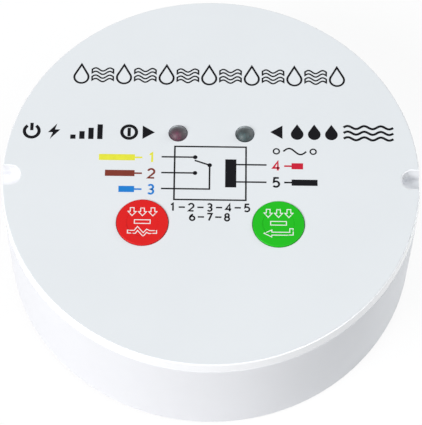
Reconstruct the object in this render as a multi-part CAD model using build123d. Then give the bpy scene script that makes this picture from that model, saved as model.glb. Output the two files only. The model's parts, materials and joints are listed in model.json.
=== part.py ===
from build123d import *
import math
import os

# Round water leak sensor, free standing. Millimetres, +Z up.
# The origin is on the surface that its sensing studs stand on, below the case's centre.
# The face graphics read with +Y away from the reader.

# Case: a drafted cup, and a lid with a printed overlay
case_radius = 51.0
wall_draft = 0.75
rim_lean = 0.2
wall = 2.4
floor_thickness = 2.4
headroom = 3.4
foot_fillet = 0.6
cover_thickness = 3.1
rim_fillet = 0.3
seam_chamfer = 0.15
label_thickness = 0.2
label_margin = 0.3

# Lip under the lid, which centres it in the cup
lip_depth = 2.5
lip_thickness = 1.4
lip_clearance = 0.2
lip_gap = 0.4

# Notches in the rim, left and right
notch_width = 5.2
notch_reach = 4.6
notch_depth_in_cup = 1.7
notch_column_wall = 1.6

# Gasket strips in the cup's top face
gasket_width = 0.9
gasket_height = 0.8
gasket_clearance = 0.05

# Lid screws from below, in hollow posts
post_inset = 3.0
post_wall = 1.1
post_height = 16.4
post_gap = 0.2
boss_step = 0.6
screw_radius = 1.5
screw_clearance = 0.15
thread_clearance = 0.02
screw_length = 22.0
screw_end_room = 1.0
screw_head_radius = 2.8
screw_head_height = 1.8
screw_head_clearance = 0.3
screw_recess = 3.2
drive_radius = 1.1
drive_depth = 1.0

# Sensing studs, which are also the feet and hold the circuit board
stud_post_pitch = 8.0
stud_head_radius = 3.6
stud_head_height = 1.2
stud_head_fillet = 0.25
stud_radius = 1.5
stud_clearance = 0.1
stud_tail = 1.0
seal_radius = 3.5
seal_thickness = 0.8
spacer_flats = 5.5
spacer_height = 5.2
nut_flats = 5.5
nut_height = 2.4

# Circuit board
board_edge_room = 4.85
board_thickness = 1.6
board_post_gap = 0.5
pin_radius = 0.35
pin_clearance = 0.15
pin_tail = 1.4

# Push buttons
button_x_share = 0.3216
button_y_share = -0.253
button_radius = 6.25
button_clearance = 0.15
button_proud = 0.35
button_edge = 0.2
button_travel = 0.5
button_dish_radius = 3.9
button_dish_depth = 0.12
flange_rim = 1.0
flange_thickness = 1.0
flange_gap = 0.05
stem_radius = 2.0
well_clearance = 0.35
well_wall = 1.0
well_depth = 3.0

# Tactile switches under the buttons
switch_size = 6.0
switch_body_height = 3.2
switch_plate_thickness = 0.3
switch_plunger_radius = 1.7
switch_plunger_clearance = 0.1
switch_height = 13.0
switch_floor = 1.0
switch_floor_gap = 0.15
switch_pin_x = 2.6
switch_pin_y = 2.2

# Indicator lamps
led_x_share = 0.1605
led_y_share = 0.24
led_radius = 2.5
led_clearance = 0.1
led_height = 8.6
led_flange_rim = 0.4
led_flange_height = 1.0
led_proud = 1.3
led_window_clearance = 0.08
led_pin_pitch = 2.54

# Relay
relay_x = 0.0
relay_edge_room = 16.0
relay_length = 19.0
relay_depth = 15.5
relay_height = 16.5
relay_base_height = 1.6
relay_wall = 0.7
yoke_side_gap = 1.0
yoke_thickness = 1.0
yoke_width = 7.0
contact_stack_room = 4.0
core_offset = 5.8
core_radius = 1.7
core_fit = 0.05
core_gap = 0.7
bobbin_radius = 4.6
bobbin_flange = 0.8
bobbin_barrel = 0.65
winding_margin = 0.4
armature_gap = 0.1
armature_thickness = 0.8
armature_overhang = 0.7
armature_reach = 9.6
armature_angle = 4.0
blade_start = 3.0
blade_end_gap = 0.6
blade_width = 2.6
blade_thickness = 0.2
contact_radius = 0.9
contact_height = 0.3
contact_gap = 0.05
contact_inset = 0.8
strip_thickness = 0.4
strip_width = 2.0
strip_offset = 3.4
strip_side_gap = 0.5

# Terminal block for the leads
terminal_ways = 5
terminal_pitch = 5.08
terminal_edge_room = 11.0
terminal_depth = 8.2
terminal_height = 10.0
terminal_side = 0.3
terminal_screw_radius = 1.7
terminal_screw_head = 2.4
terminal_screw_shank = 1.1
terminal_screw_recess = 1.5
terminal_clearance = 0.1
terminal_slot = 0.6
entry_width = 3.4
entry_floor = 1.5
clamp_height = 3.4
clamp_depth = 4.4
clamp_wall = 0.5
clamp_roof = 1.1

# Lead outlet in the back wall
outlet_z = 16.0
outlet_spot_depth = 0.7
grommet_bore_radius = 3.5
grommet_wall = 1.5
grommet_flange_rim = 1.4
grommet_outer_flange = 1.0
grommet_inner_flange = 1.2
grommet_clearance = 0.05
outlet_pad_margin = 1.2

# Power supply and sensing parts on the board
side_parts_room = 10.0
rectifier_y = 6.0
rectifier_length = 8.4
rectifier_depth = 6.4
rectifier_height = 3.2
rectifier_pin_x = 3.2
rectifier_pin_y = 2.2
capacitor_x = 0.0
capacitor_y = -1.0
capacitor_radius = 5.0
capacitor_drop = 0.5
capacitor_edge = 0.7
capacitor_pin_pitch = 5.0
capacitor_vent_width = 0.4
capacitor_vent_depth = 0.2
regulator_x = 15.5
regulator_y = 3.0
regulator_radius = 2.4
regulator_flat = 1.3
regulator_height = 4.6
regulator_stand = 2.0
regulator_pin_pitch = 1.27
varistor_x = -14.5
varistor_y = 2.0
varistor_radius = 4.2
varistor_thickness = 3.2
varistor_stand = 1.2
varistor_edge = 0.8
varistor_pin_pitch = 5.0
chip_y = 5.0
chip_length = 9.4
chip_depth = 6.4
chip_height = 3.4
chip_pin_pitch = 2.54
chip_pin_columns = 4
chip_pin_y = 2.6
chip_mark_radius = 0.7
chip_mark_depth = 0.3
resistor_y = -13.0
resistor_count = 5
resistor_spacing = 3.4
resistor_radius = 1.15
resistor_length = 6.3
resistor_lead_reach = 1.9
resistor_lead_radius = 0.3

# Cuts run past what they cut by this much
overrun = 1.0

# Radii and places worked out from the sizes above
foot_radius = case_radius - wall_draft
rim_radius = case_radius - rim_lean
board_radius = foot_radius - wall - board_edge_room
post_ring_radius = board_radius - post_inset
post_radius = screw_head_radius + screw_head_clearance + post_wall
boss_radius = post_radius - boss_step
stud_ring_radius = post_ring_radius - stud_post_pitch
button_x = button_x_share * case_radius
button_y = button_y_share * case_radius
led_x = led_x_share * case_radius
led_y = led_y_share * case_radius
flange_radius = button_radius + flange_rim
led_flange_radius = led_radius + led_flange_rim
led_spacer_radius = led_flange_radius
relay_y = relay_edge_room - board_radius
yoke_x = relay_wall + yoke_side_gap + yoke_thickness / 2 - relay_length / 2
core_x = yoke_x + core_offset
strip_x = relay_length / 2 - relay_wall - strip_side_gap - strip_thickness / 2
blade_reach = strip_x - strip_thickness / 2 - blade_end_gap - yoke_x
terminal_y = board_radius - terminal_edge_room
grommet_neck_radius = grommet_bore_radius + grommet_wall
grommet_flange_radius = grommet_neck_radius + grommet_flange_rim
rectifier_x = side_parts_room - board_radius
chip_x = board_radius - side_parts_room
resistor_x = board_radius - side_parts_room

# Heights worked out from the sizes above
case_bottom = stud_head_height
floor_top = case_bottom + floor_thickness
board_bottom = floor_top + seal_thickness + spacer_height
board_top = board_bottom + board_thickness
seam = board_top + relay_height + headroom
cover_top = seam + cover_thickness
face = cover_top + label_thickness
post_top = floor_top + post_height
switch_top = board_top + switch_height
led_bottom = face + led_proud - led_height
led_dome = led_bottom + led_height - led_radius
screw_seat = case_bottom + screw_recess
relay_floor = board_top + relay_base_height
yoke_rise = relay_height - relay_base_height - relay_wall - contact_stack_room
hinge_z = relay_floor + yoke_rise
capacitor_height = relay_height - capacitor_drop
blade_bottom = hinge_z + armature_gap + armature_thickness
wall_slope = wall_draft / (seam - case_bottom)
notch_column_width = notch_width + 2 * notch_column_wall
outlet_face = foot_radius + wall_slope * (outlet_z - case_bottom) - outlet_spot_depth

UP = (Align.CENTER, Align.CENTER, Align.MIN)


def rod(radius, bottom, top, x=0, y=0):
    """An upright round bar between two heights."""
    return Pos(x, y, bottom) * Cylinder(radius, top - bottom, align=UP)


def ring(outer, inner, bottom, top, x=0, y=0):
    """An upright tube between two heights."""
    return rod(outer, bottom, top, x, y) - rod(inner, bottom - overrun, top + overrun, x, y)


def block(length, depth, bottom, top, x=0, y=0):
    """An upright square bar between two heights."""
    return Pos(x, y, bottom) * Box(length, depth, top - bottom, align=UP)


def hexagon(flats, bottom, top, x, y):
    """A hexagonal bar, by the distance across its flats."""
    profile = RegularPolygon(flats / 2, 6, major_radius=False)
    return Pos(x, y, bottom) * extrude(profile, top - bottom)


def ring_places(radius):
    """Four places on a circle, on the diagonals."""
    turns = [math.radians(45 + 90 * quarter) for quarter in range(4)]
    return [(radius * math.cos(turn), radius * math.sin(turn)) for turn in turns]


def group(solids):
    """Separate solids kept together in one node."""
    return Compound(children=list(solids))


def pins(places, top):
    """Round pins from below the board up to a height."""
    return [rod(pin_radius, board_bottom - pin_tail, top, x, y) for x, y in places]


def wall_radius(height):
    """The case's outer radius at a height."""
    return foot_radius + wall_slope * (height - case_bottom)


# Places
post_places = ring_places(post_ring_radius)
stud_places = ring_places(stud_ring_radius)
button_places = {"test": (-button_x, button_y), "reset": (button_x, button_y)}
led_places = {"power": (-led_x, led_y), "moisture": (led_x, led_y)}
terminal_columns = [terminal_pitch * (way - (terminal_ways - 1) / 2) for way in range(terminal_ways)]


def switch_pin_places(x, y):
    return [(x + i * switch_pin_x, y + j * switch_pin_y) for i in (-1, 1) for j in (-1, 1)]


def led_pin_places(x, y):
    return [(x + i * led_pin_pitch / 2, y) for i in (-1, 1)]


def relay_pin_places():
    coil = [(relay_x + core_x, relay_y + i * (relay_depth / 2 - 2 * relay_wall)) for i in (-1, 1)]
    common = [(relay_x + yoke_x, relay_y)]
    contacts = [(relay_x + strip_x, relay_y + i * strip_offset) for i in (-1, 1)]
    return coil + common + contacts


def rectifier_pin_places():
    return [
        (rectifier_x + i * rectifier_pin_x, rectifier_y + j * rectifier_pin_y)
        for i in (-1, 1)
        for j in (-1, 1)
    ]


def capacitor_pin_places():
    return [(capacitor_x + i * capacitor_pin_pitch / 2, capacitor_y) for i in (-1, 1)]


def regulator_pin_places():
    return [(regulator_x + i * regulator_pin_pitch, regulator_y) for i in (-1, 0, 1)]


def varistor_pin_places():
    return [(varistor_x + i * varistor_pin_pitch / 2, varistor_y) for i in (-1, 1)]


def chip_pin_places():
    columns = [chip_pin_pitch * (i - (chip_pin_columns - 1) / 2) for i in range(chip_pin_columns)]
    return [(chip_x + column, chip_y + j * chip_pin_y) for column in columns for j in (-1, 1)]


def terminal_pin_places():
    return [(column, terminal_y - terminal_depth / 4) for column in terminal_columns]


def resistor_rows():
    return [resistor_y + resistor_spacing * row for row in range(resistor_count)]


def resistor_end_places():
    reach = resistor_length / 2 + resistor_lead_reach
    return [(resistor_x + i * reach, row) for row in resistor_rows()[:3] for i in (-1, 1)] + [
        (-resistor_x + i * reach, row) for row in resistor_rows()[:2] for i in (-1, 1)
    ]


# Case
def notch_cut(side, bottom, top, margin=0):
    """A slot in the rim with a round inner end, on the left or right side."""
    half = notch_width / 2 + margin
    end = case_radius - notch_reach + notch_width / 2
    run = notch_reach + overrun
    slot = block(run, 2 * half, bottom, top, side * (end + run / 2), 0)
    return slot + rod(half, bottom, top, side * end, 0)


def gasket_ring(extra):
    """Two strips round the cup's top face, which stop short of the notches."""
    middle = case_radius - wall / 2
    half = gasket_width / 2 + extra
    strips = ring(middle + half, middle - half, seam - gasket_height - extra, seam)
    stop = notch_column_width - 2 * extra
    strips -= block(2 * (case_radius + overrun), stop, seam - gasket_height - overrun, seam + overrun)
    return strips


def base_housing():
    outline = Polyline(
        (0, case_bottom),
        (foot_radius, case_bottom),
        (case_radius, seam),
        (0, seam),
        close=True,
    )
    outside = revolve(Plane.XZ * make_face(outline), Axis.Z)
    outside = fillet(outside.edges().group_by(Axis.Z)[0], foot_fillet)
    outside = chamfer(outside.edges().group_by(Axis.Z)[-1], seam_chamfer)
    hollow = Polyline(
        (0, floor_top),
        (wall_radius(floor_top) - wall, floor_top),
        (wall_radius(seam + overrun) - wall, seam + overrun),
        (0, seam + overrun),
        close=True,
    )
    cup = outside - revolve(Plane.XZ * make_face(hollow), Axis.Z)
    # Columns under the notches
    column_reach = notch_reach + notch_column_wall
    for side in (-1, 1):
        middle = side * (case_radius - column_reach / 2)
        cup += block(column_reach, notch_column_width, floor_top, seam, middle, 0) & outside
    # Pad inside the back wall, so that the lead outlet seats flat
    pad_half = grommet_flange_radius + outlet_pad_margin
    pad_reach = wall + outlet_spot_depth
    pad_face = outlet_face - wall
    pad = block(
        2 * pad_half, pad_reach, outlet_z - pad_half, outlet_z + pad_half, 0, pad_face + pad_reach / 2
    )
    cup += pad & outside
    # Screw posts
    for x, y in post_places:
        cup += rod(post_radius, floor_top, post_top, x, y)
    for x, y in post_places:
        cup -= rod(screw_radius + screw_clearance, case_bottom - overrun, post_top + overrun, x, y)
        cup -= rod(screw_head_radius + screw_head_clearance, case_bottom - overrun, screw_seat, x, y)
    for x, y in stud_places:
        cup -= rod(stud_radius + stud_clearance, case_bottom - overrun, floor_top + overrun, x, y)
    for side in (-1, 1):
        cup -= notch_cut(side, seam - notch_depth_in_cup, seam + overrun)
    cup -= gasket_ring(gasket_clearance)
    # Lead outlet: a hole and a flat seat round it
    bore = grommet_neck_radius + grommet_clearance
    seat = grommet_flange_radius + outlet_pad_margin / 2
    reach = wall + 2 * overrun
    cup -= Pos(0, outlet_face - wall - overrun, outlet_z) * Rot(-90, 0, 0) * Cylinder(bore, reach, align=UP)
    cup -= Pos(0, outlet_face, outlet_z) * Rot(-90, 0, 0) * Cylinder(seat, reach, align=UP)
    return cup


def cover_gasket():
    return gasket_ring(0)


def top_cover():
    outline = Polyline(
        (0, seam),
        (case_radius, seam),
        (rim_radius, cover_top),
        (0, cover_top),
        close=True,
    )
    lid = revolve(Plane.XZ * make_face(outline), Axis.Z)
    lid = fillet(lid.edges().group_by(Axis.Z)[-1], rim_fillet)
    lid = chamfer(lid.edges().group_by(Axis.Z)[0], seam_chamfer)
    lip_radius = case_radius - wall - lip_clearance
    lip = ring(lip_radius, lip_radius - lip_thickness, seam - lip_depth, seam)
    across = 2 * (case_radius + overrun)
    lip -= block(across, notch_column_width + 2 * lip_gap, seam - lip_depth - overrun, seam + overrun)
    lid += lip
    for x, y in post_places:
        lid += rod(boss_radius, post_top + post_gap, seam, x, y)
    for x, y in button_places.values():
        well = flange_radius + well_clearance
        lid += ring(well + well_wall, well, seam - well_depth, seam, x, y)
    for x, y in post_places:
        thread = screw_radius + thread_clearance
        lid -= rod(thread, post_top - overrun, screw_seat + screw_length + screw_end_room, x, y)
    for x, y in button_places.values():
        lid -= rod(button_radius + button_clearance, seam - overrun, cover_top + overrun, x, y)
    for x, y in led_places.values():
        lid -= rod(led_radius + led_clearance, seam - overrun, cover_top + overrun, x, y)
    for side in (-1, 1):
        lid -= notch_cut(side, seam - overrun, cover_top + overrun)
    return lid


def led_window_radius():
    """The label closes in on each dome, over the wider hole in the lid."""
    rise = max(0, cover_top - led_dome)
    return math.sqrt(led_radius**2 - rise**2) + led_window_clearance


def face_label():
    label = rod(rim_radius - label_margin, cover_top, face)
    for x, y in button_places.values():
        label -= rod(button_radius + button_clearance, cover_top - overrun, face + overrun, x, y)
    for x, y in led_places.values():
        label -= rod(led_window_radius(), cover_top - overrun, face + overrun, x, y)
    for side in (-1, 1):
        label -= notch_cut(side, cover_top - overrun, face + overrun, label_margin)
    return label


def cover_screw(x, y):
    head = rod(screw_head_radius, screw_seat - screw_head_height, screw_seat, x, y)
    drive_bottom = screw_seat - screw_head_height
    for length, depth in ((2 * drive_radius, drive_radius / 2), (drive_radius / 2, 2 * drive_radius)):
        head -= block(length, depth, drive_bottom - overrun, drive_bottom + drive_depth, x, y)
    return head + rod(screw_radius, screw_seat, screw_seat + screw_length, x, y)


# Studs that feel the water
def sensing_stud(x, y):
    head = rod(stud_head_radius, case_bottom - stud_head_height, case_bottom, x, y)
    head = fillet(head.edges().group_by(Axis.Z)[0], stud_head_fillet)
    return head + rod(stud_radius, case_bottom, board_top + nut_height + stud_tail, x, y)


def stud_seal(x, y):
    return ring(seal_radius, stud_radius + stud_clearance, floor_top, floor_top + seal_thickness, x, y)


def stud_spacer(x, y):
    bottom = floor_top + seal_thickness
    spacer = hexagon(spacer_flats, bottom, board_bottom, x, y)
    return spacer - rod(stud_radius + thread_clearance, bottom - overrun, board_bottom + overrun, x, y)


def stud_nut(x, y):
    top = board_top + nut_height
    nut = hexagon(nut_flats, board_top, top, x, y)
    return nut - rod(stud_radius + thread_clearance, board_top - overrun, top + overrun, x, y)


# Circuit board
def circuit_board():
    board = rod(board_radius, board_bottom, board_top)
    for x, y in post_places:
        board -= rod(post_radius + board_post_gap, board_bottom - overrun, board_top + overrun, x, y)
    for x, y in stud_places:
        board -= rod(stud_radius + stud_clearance, board_bottom - overrun, board_top + overrun, x, y)
    places = relay_pin_places() + rectifier_pin_places() + capacitor_pin_places()
    places += regulator_pin_places() + varistor_pin_places() + chip_pin_places()
    places += terminal_pin_places() + resistor_end_places()
    for x, y in button_places.values():
        places += switch_pin_places(x, y)
    for x, y in led_places.values():
        places += led_pin_places(x, y)
    holes = [
        rod(pin_radius + pin_clearance, board_bottom - overrun, board_top + overrun, x, y) for x, y in places
    ]
    return board - holes


# Push buttons and their switches
def button_cap(x, y):
    top = face + button_proud
    flange_top = seam - flange_gap
    flange_bottom = flange_top - flange_thickness
    cap = rod(button_radius, flange_bottom, top, x, y)
    cap = fillet(cap.edges().group_by(Axis.Z)[-1], button_edge)
    cap += rod(flange_radius, flange_bottom, flange_top, x, y)
    cap += rod(stem_radius, switch_top, flange_bottom, x, y)
    return cap - rod(button_dish_radius, top - button_dish_depth, top + overrun, x, y)


def switch_body(x, y):
    top = board_top + switch_body_height
    body = block(switch_size, switch_size, board_top, top, x, y)
    pocket = switch_plunger_radius + switch_plunger_clearance
    return body - rod(pocket, board_top + switch_floor, top + overrun, x, y)


def switch_plate(x, y):
    bottom = board_top + switch_body_height
    top = bottom + switch_plate_thickness
    plate = block(switch_size, switch_size, bottom, top, x, y)
    hole = switch_plunger_radius + switch_plunger_clearance
    return plate - rod(hole, bottom - overrun, top + overrun, x, y)


def switch_plunger(x, y):
    bottom = board_top + switch_floor + button_travel + switch_floor_gap
    return rod(switch_plunger_radius, bottom, switch_top, x, y)


def switch_pins(x, y):
    return group(pins(switch_pin_places(x, y), board_top))


# Indicator lamps
def led_lens(x, y):
    lens = rod(led_radius, led_bottom, led_dome, x, y) + Pos(x, y, led_dome) * Sphere(led_radius)
    return lens + rod(led_flange_radius, led_bottom, led_bottom + led_flange_height, x, y)


def led_leads(x, y):
    return group(pins(led_pin_places(x, y), led_bottom))


def led_spacer(x, y):
    spacer = rod(led_spacer_radius, board_top, led_bottom, x, y)
    for pin_x, pin_y in led_pin_places(x, y):
        bore = pin_radius + pin_clearance
        spacer -= rod(bore, board_top - overrun, led_bottom + overrun, pin_x, pin_y)
    return spacer


# Relay: a coil pulls a hinged plate, whose blade changes over between two contacts
def relay_base():
    return block(relay_length, relay_depth, board_top, relay_floor, relay_x, relay_y)


def relay_case():
    top = board_top + relay_height
    shell = block(relay_length, relay_depth, relay_floor, top, relay_x, relay_y)
    inner_length = relay_length - 2 * relay_wall
    inner_depth = relay_depth - 2 * relay_wall
    inside = block(inner_length, inner_depth, relay_floor - overrun, top - relay_wall, relay_x, relay_y)
    return shell - inside


def relay_yoke():
    foot_length = core_x - yoke_x + core_radius
    foot_middle = relay_x + yoke_x + foot_length / 2
    plate_top = relay_floor + yoke_thickness
    foot = block(foot_length, yoke_width, relay_floor, plate_top, foot_middle, relay_y)
    leg = block(yoke_thickness, yoke_width, relay_floor, hinge_z, relay_x + yoke_x, relay_y)
    return foot + leg


def relay_core():
    top = hinge_z + armature_gap - core_gap
    return rod(core_radius, relay_floor + yoke_thickness, top, relay_x + core_x, relay_y)


def bobbin_heights():
    bottom = relay_floor + yoke_thickness
    top = hinge_z + armature_gap - core_gap - yoke_thickness / 2
    return bottom, bottom + bobbin_flange, top - bobbin_flange, top


def relay_bobbin():
    bottom, low, high, top = bobbin_heights()
    x = relay_x + core_x
    bobbin = rod(core_radius + core_fit + bobbin_barrel, bottom, top, x, relay_y)
    bobbin += rod(bobbin_radius, bottom, low, x, relay_y)
    bobbin += rod(bobbin_radius, high, top, x, relay_y)
    return bobbin - rod(core_radius + core_fit, bottom - overrun, top + overrun, x, relay_y)


def relay_winding():
    bottom, low, high, top = bobbin_heights()
    inner = core_radius + core_fit + bobbin_barrel
    return ring(bobbin_radius - winding_margin, inner, low, high, relay_x + core_x, relay_y)


def relay_armature():
    bottom = hinge_z + armature_gap
    middle = relay_x + yoke_x + armature_reach / 2 - armature_overhang
    return block(armature_reach, yoke_width, bottom, bottom + armature_thickness, middle, relay_y)


def contact_x():
    return relay_x + yoke_x + blade_reach - contact_inset


def relay_contact_blade():
    length = blade_reach - blade_start
    middle = relay_x + yoke_x + blade_start + length / 2
    top = blade_bottom + blade_thickness
    blade = block(length, blade_width, blade_bottom, top, middle, relay_y)
    low = blade_bottom - contact_height
    return blade + rod(contact_radius, low, top + contact_height, contact_x(), relay_y)


def relay_fixed_contacts():
    """The upper contact touches at rest, and the lower one when the coil pulls."""
    drop = (contact_x() - relay_x - yoke_x + contact_radius) * math.sin(math.radians(armature_angle))
    upper = blade_bottom + blade_thickness + contact_height + contact_gap
    lower = blade_bottom - contact_height - drop - contact_gap
    strip_face = relay_x + strip_x + strip_thickness / 2
    arm_length = strip_face - contact_x() + contact_radius
    arm_middle = strip_face - arm_length / 2
    arm_depth = strip_offset + strip_width / 2 + contact_radius
    solids = []
    for side, touch, arm_bottom in (
        (-1, (upper, upper + contact_height), upper + contact_height),
        (1, (lower - contact_height, lower), lower - contact_height - strip_thickness),
    ):
        arm_y = relay_y + side * (arm_depth / 2 - contact_radius)
        arm_top = arm_bottom + strip_thickness
        post_y = relay_y + side * strip_offset
        strip = block(strip_thickness, strip_width, relay_floor, arm_top, relay_x + strip_x, post_y)
        strip += block(arm_length, arm_depth, arm_bottom, arm_top, arm_middle, arm_y)
        strip += rod(contact_radius, touch[0], touch[1], contact_x(), relay_y)
        solids.append(strip)
    return group(solids)


def relay_pins():
    return group(pins(relay_pin_places(), board_top))


# Terminal block
def terminal_block():
    length = terminal_ways * terminal_pitch + 2 * terminal_side
    top = board_top + terminal_height
    body = block(length, terminal_depth, board_top, top, 0, terminal_y)
    entry_bottom = board_top + entry_floor
    entry_top = entry_bottom + clamp_height
    entry_reach = terminal_depth / 2 + clamp_depth / 2 + terminal_clearance
    entry_y = terminal_y + terminal_depth / 2 - entry_reach / 2
    for column in terminal_columns:
        body -= block(entry_width, entry_reach, entry_bottom, entry_top, column, entry_y)
        well = terminal_screw_radius + terminal_clearance
        body -= rod(well, entry_top - overrun, top + overrun, column, terminal_y)
    return body


def terminal_clamp(column):
    bottom = board_top + entry_floor
    top = bottom + clamp_height
    width = entry_width - 2 * terminal_clearance
    clamp = block(width, clamp_depth, bottom, top, column, terminal_y)
    window_top = top - clamp_roof
    window = width - 2 * clamp_wall
    clamp -= block(window, clamp_depth + overrun, bottom + clamp_wall, window_top, column, terminal_y)
    thread = terminal_screw_shank + thread_clearance
    return clamp - rod(thread, window_top - clamp_wall, top + overrun, column, terminal_y)


def terminal_screw(column):
    head_top = board_top + terminal_height - terminal_screw_recess
    head_bottom = head_top - terminal_screw_head
    shank_bottom = board_top + entry_floor + clamp_height - clamp_roof
    screw = rod(terminal_screw_radius, head_bottom, head_top, column, terminal_y)
    slot_bottom = head_top - terminal_slot
    across = 2 * terminal_screw_radius
    screw -= block(across, terminal_slot, slot_bottom, head_top + overrun, column, terminal_y)
    return screw + rod(terminal_screw_shank, shank_bottom, head_bottom, column, terminal_y)


def terminal_pins():
    return group(pins(terminal_pin_places(), board_top))


# Lead outlet
def cable_grommet():
    inner = outlet_face - wall - grommet_inner_flange
    outer = outlet_face + grommet_outer_flange
    outline = Polyline(
        (grommet_bore_radius, inner),
        (grommet_flange_radius, inner),
        (grommet_flange_radius, outlet_face - wall),
        (grommet_neck_radius, outlet_face - wall),
        (grommet_neck_radius, outlet_face),
        (grommet_flange_radius, outlet_face),
        (grommet_flange_radius, outer),
        (grommet_bore_radius, outer),
        close=True,
    )
    return Pos(0, 0, outlet_z) * revolve(make_face(outline), Axis.Y)


# Power supply and sensing parts
def bridge_rectifier():
    top = board_top + rectifier_height
    return block(rectifier_length, rectifier_depth, board_top, top, rectifier_x, rectifier_y)


def smoothing_capacitor():
    top = board_top + capacitor_height
    can = rod(capacitor_radius, board_top, top, capacitor_x, capacitor_y)
    can = fillet(can.edges().group_by(Axis.Z)[-1], capacitor_edge)
    for turn in (0, 90):
        score = Box(capacitor_radius, capacitor_vent_width, 2 * capacitor_vent_depth)
        can -= Pos(capacitor_x, capacitor_y, top) * Rot(0, 0, turn) * score
    return can


def voltage_regulator():
    bottom = board_top + regulator_stand
    body = rod(regulator_radius, bottom, bottom + regulator_height, regulator_x, regulator_y)
    flat_depth = regulator_radius - regulator_flat
    flat_y = regulator_y - regulator_flat - flat_depth / 2
    across = 2 * regulator_radius
    top = bottom + regulator_height
    return body - block(across, flat_depth, bottom - overrun, top + overrun, regulator_x, flat_y)


def varistor():
    disc = Cylinder(varistor_radius, varistor_thickness)
    disc = fillet(disc.edges().filter_by(GeomType.CIRCLE), varistor_edge)
    height = board_top + varistor_stand + varistor_radius
    disc = Pos(varistor_x, varistor_y, height) * Rot(90, 0, 0) * disc
    for x, y in varistor_pin_places():
        disc += rod(pin_radius, board_bottom - pin_tail, height, x, y)
    return disc


def sensor_chip():
    top = board_top + chip_height
    body = block(chip_length, chip_depth, board_top, top, chip_x, chip_y)
    end = chip_x - chip_length / 2
    return body - rod(chip_mark_radius, top - chip_mark_depth, top + overrun, end, chip_y)


def resistor_places():
    right = [(resistor_x, row) for row in resistor_rows()[:3]]
    return right + [(-resistor_x, row) for row in resistor_rows()[:2]]


def resistor_body(x, y):
    body = Cylinder(resistor_radius, resistor_length)
    return Pos(x, y, board_top + resistor_radius) * Rot(0, 90, 0) * body


def resistor_leads(x, y):
    height = board_top + resistor_radius
    solids = []
    for side in (-1, 1):
        end = x + side * (resistor_length / 2 + resistor_lead_reach)
        start = x + side * resistor_length / 2
        run = Cylinder(resistor_lead_radius, resistor_lead_reach)
        lead = Pos((start + end) / 2, y, height) * Rot(0, 90, 0) * run
        lead += rod(resistor_lead_radius, board_bottom - pin_tail, height, end, y)
        lead += Pos(end, y, height) * Sphere(resistor_lead_radius)
        solids.append(lead)
    return solids


def nodes():
    """Every sub-part by its node's name."""
    parts = {
        "base_housing": base_housing(),
        "top_cover": top_cover(),
        "face_label": face_label(),
        "cover_gasket": cover_gasket(),
        "cover_screws": group(cover_screw(x, y) for x, y in post_places),
        "sensing_studs": group(sensing_stud(x, y) for x, y in stud_places),
        "stud_seals": group(stud_seal(x, y) for x, y in stud_places),
        "stud_spacers": group(stud_spacer(x, y) for x, y in stud_places),
        "stud_nuts": group(stud_nut(x, y) for x, y in stud_places),
        "circuit_board": circuit_board(),
        "relay_base": relay_base(),
        "relay_case": relay_case(),
        "relay_yoke": relay_yoke(),
        "relay_core": relay_core(),
        "relay_bobbin": relay_bobbin(),
        "relay_winding": relay_winding(),
        "relay_armature": relay_armature(),
        "relay_contact_blade": relay_contact_blade(),
        "relay_fixed_contacts": relay_fixed_contacts(),
        "relay_pins": relay_pins(),
        "terminal_block": terminal_block(),
        "terminal_clamps": group(terminal_clamp(column) for column in terminal_columns),
        "terminal_screws": group(terminal_screw(column) for column in terminal_columns),
        "terminal_pins": terminal_pins(),
        "cable_grommet": cable_grommet(),
        "bridge_rectifier": bridge_rectifier(),
        "rectifier_pins": group(pins(rectifier_pin_places(), board_top)),
        "smoothing_capacitor": smoothing_capacitor(),
        "capacitor_leads": group(pins(capacitor_pin_places(), board_top)),
        "voltage_regulator": voltage_regulator(),
        "regulator_leads": group(pins(regulator_pin_places(), board_top + regulator_stand)),
        "varistor": varistor(),
        "sensor_chip": sensor_chip(),
        "chip_pins": group(pins(chip_pin_places(), board_top)),
        "resistors": group(resistor_body(x, y) for x, y in resistor_places()),
        "resistor_leads": group(lead for x, y in resistor_places() for lead in resistor_leads(x, y)),
    }
    for name, (x, y) in button_places.items():
        parts[name + "_button_cap"] = button_cap(x, y)
        parts[name + "_switch_body"] = switch_body(x, y)
        parts[name + "_switch_plate"] = switch_plate(x, y)
        parts[name + "_switch_plunger"] = switch_plunger(x, y)
        parts[name + "_switch_pins"] = switch_pins(x, y)
    for name, (x, y) in led_places.items():
        parts[name + "_led_lens"] = led_lens(x, y)
        parts[name + "_led_leads"] = led_leads(x, y)
        parts[name + "_led_spacer"] = led_spacer(x, y)
    return parts


os.makedirs("parts", exist_ok=True)
for name, shape in nodes().items():
    export_step(shape, "parts/" + name + ".step")
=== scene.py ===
import bmesh
import bpy
import json
import math
from mathutils import Matrix, Vector


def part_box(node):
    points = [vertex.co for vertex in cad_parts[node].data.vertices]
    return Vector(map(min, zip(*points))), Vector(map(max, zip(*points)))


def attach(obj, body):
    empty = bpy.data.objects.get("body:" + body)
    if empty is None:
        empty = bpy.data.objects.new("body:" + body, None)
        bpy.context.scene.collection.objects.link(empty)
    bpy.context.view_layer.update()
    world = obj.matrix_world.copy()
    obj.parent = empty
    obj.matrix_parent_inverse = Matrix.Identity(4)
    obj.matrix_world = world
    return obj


# Round water leak sensor: printed face, lamps' inner parts, materials, studio and camera.
# The scene is in metres, in the model's own frame. Sizes of the print and of the lamps' inner
# parts are written in millimetres, and MM turns them to metres.

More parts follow.
